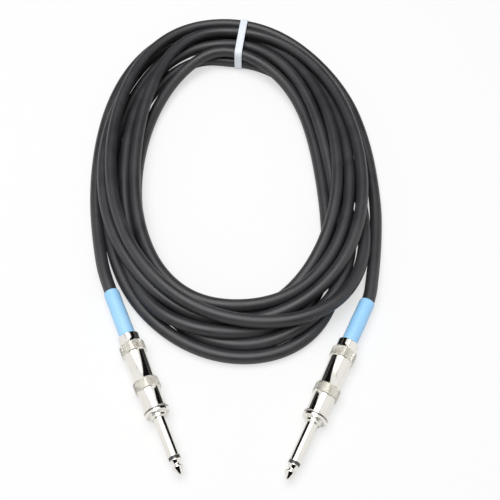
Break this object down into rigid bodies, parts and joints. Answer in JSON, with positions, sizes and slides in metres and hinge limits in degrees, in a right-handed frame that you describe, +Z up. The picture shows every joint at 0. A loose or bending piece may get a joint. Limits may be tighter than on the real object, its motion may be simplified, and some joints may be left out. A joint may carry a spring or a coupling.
{
  "type": "instrument cable",
  "caption": "Shielded instrument cable, coiled flat and tied, with a straight quarter-inch plug at each end whose knurled barrel unscrews and slides back.",
  "frame": {"origin": "on the surface the cable lies on, at the middle of the box round the two plugs and their heat-shrink sleeves", "axes": "+Z up from the surface; +Y from the plugs towards the coil; +X from the plug of end a to the plug of end b"},
  "size_m": [0.1823, 0.3453, 0.0148],
  "materials": {
    "nickel_plate": "bright nickel plating, turned, with fine turning lines",
    "barrel_nickel": "bright nickel plating with two diamond-knurled bands",
    "ring_insulator": "moulded, slightly glossy",
    "inner_insulator": "moulded",
    "tinned_brass": "stamped and tinned",
    "cable_jacket": "charcoal, matte, very finely textured",
    "core_insulation": "extruded",
    "copper": "bare stranded copper",
    "solder": "bright, slightly frosted",
    "blue_heat_shrink": "sky blue, satin, shrunk on",
    "liner_plastic": "clear thin tube",
    "tie_plastic": "pale, flat, finely ribbed plastic strip"
  },
  "bodies": {
    "cable": {"tip_contact_a": "nickel_plate", "tip_ring_a": "ring_insulator", "rod_insulator_a": "inner_insulator", "sleeve_body_a": "nickel_plate", "ground_terminal_a": "tinned_brass", "terminal_washer_a": "inner_insulator", "tip_terminal_a": "tinned_brass", "cable_end_a": "cable_jacket", "core_insulation_a": "core_insulation", "core_conductor_a": "copper", "shield_pigtail_a": "copper", "solder_on_tip_a": "solder", "solder_on_ground_a": "solder", "heat_shrink_a": "blue_heat_shrink", "cable_lead_a": "cable_jacket", "tip_contact_b": "nickel_plate", "tip_ring_b": "ring_insulator", "rod_insulator_b": "inner_insulator", "sleeve_body_b": "nickel_plate", "ground_terminal_b": "tinned_brass", "terminal_washer_b": "inner_insulator", "tip_terminal_b": "tinned_brass", "cable_end_b": "cable_jacket", "core_insulation_b": "core_insulation", "core_conductor_b": "copper", "shield_pigtail_b": "copper", "solder_on_tip_b": "solder", "solder_on_ground_b": "solder", "heat_shrink_b": "blue_heat_shrink", "cable_lead_b": "cable_jacket", "cable_coil": "cable_jacket", "cable_tie": "tie_plastic"},
    "liner_a": {"insulating_liner_a": "liner_plastic"},
    "barrel_a": {"barrel_a": "barrel_nickel"},
    "liner_b": {"insulating_liner_b": "liner_plastic"},
    "barrel_b": {"barrel_b": "barrel_nickel"}
  },
  "joints": [
    {"name": "liner_a_slide", "type": "slide", "parent": "cable", "child": "liner_a", "axis": [-0.4067, 0.9135, 0], "range_m": [0, 0.0048]},
    {"name": "barrel_a_turn", "type": "hinge", "parent": "liner_a", "child": "barrel_a", "pos_m": [-0.0527, 0.00491, 0.007], "axis": [-0.4067, 0.9135, 0], "range_deg": [0, 2160]},
    {"name": "liner_b_slide", "type": "slide", "parent": "cable", "child": "liner_b", "axis": [0.4431, 0.8965, 0], "range_m": [0, 0.0048]},
    {"name": "barrel_b_turn", "type": "hinge", "parent": "liner_b", "child": "barrel_b", "pos_m": [0.05099, 0.0015, 0.007], "axis": [0.4431, 0.8965, 0], "range_deg": [0, 2160]}
  ],
  "couplings": [
    {"joint": "liner_a_slide", "follows": "barrel_a_turn", "m_per_rad": 0.00012732},
    {"joint": "liner_b_slide", "follows": "barrel_b_turn", "m_per_rad": 0.00012732}
  ]
}
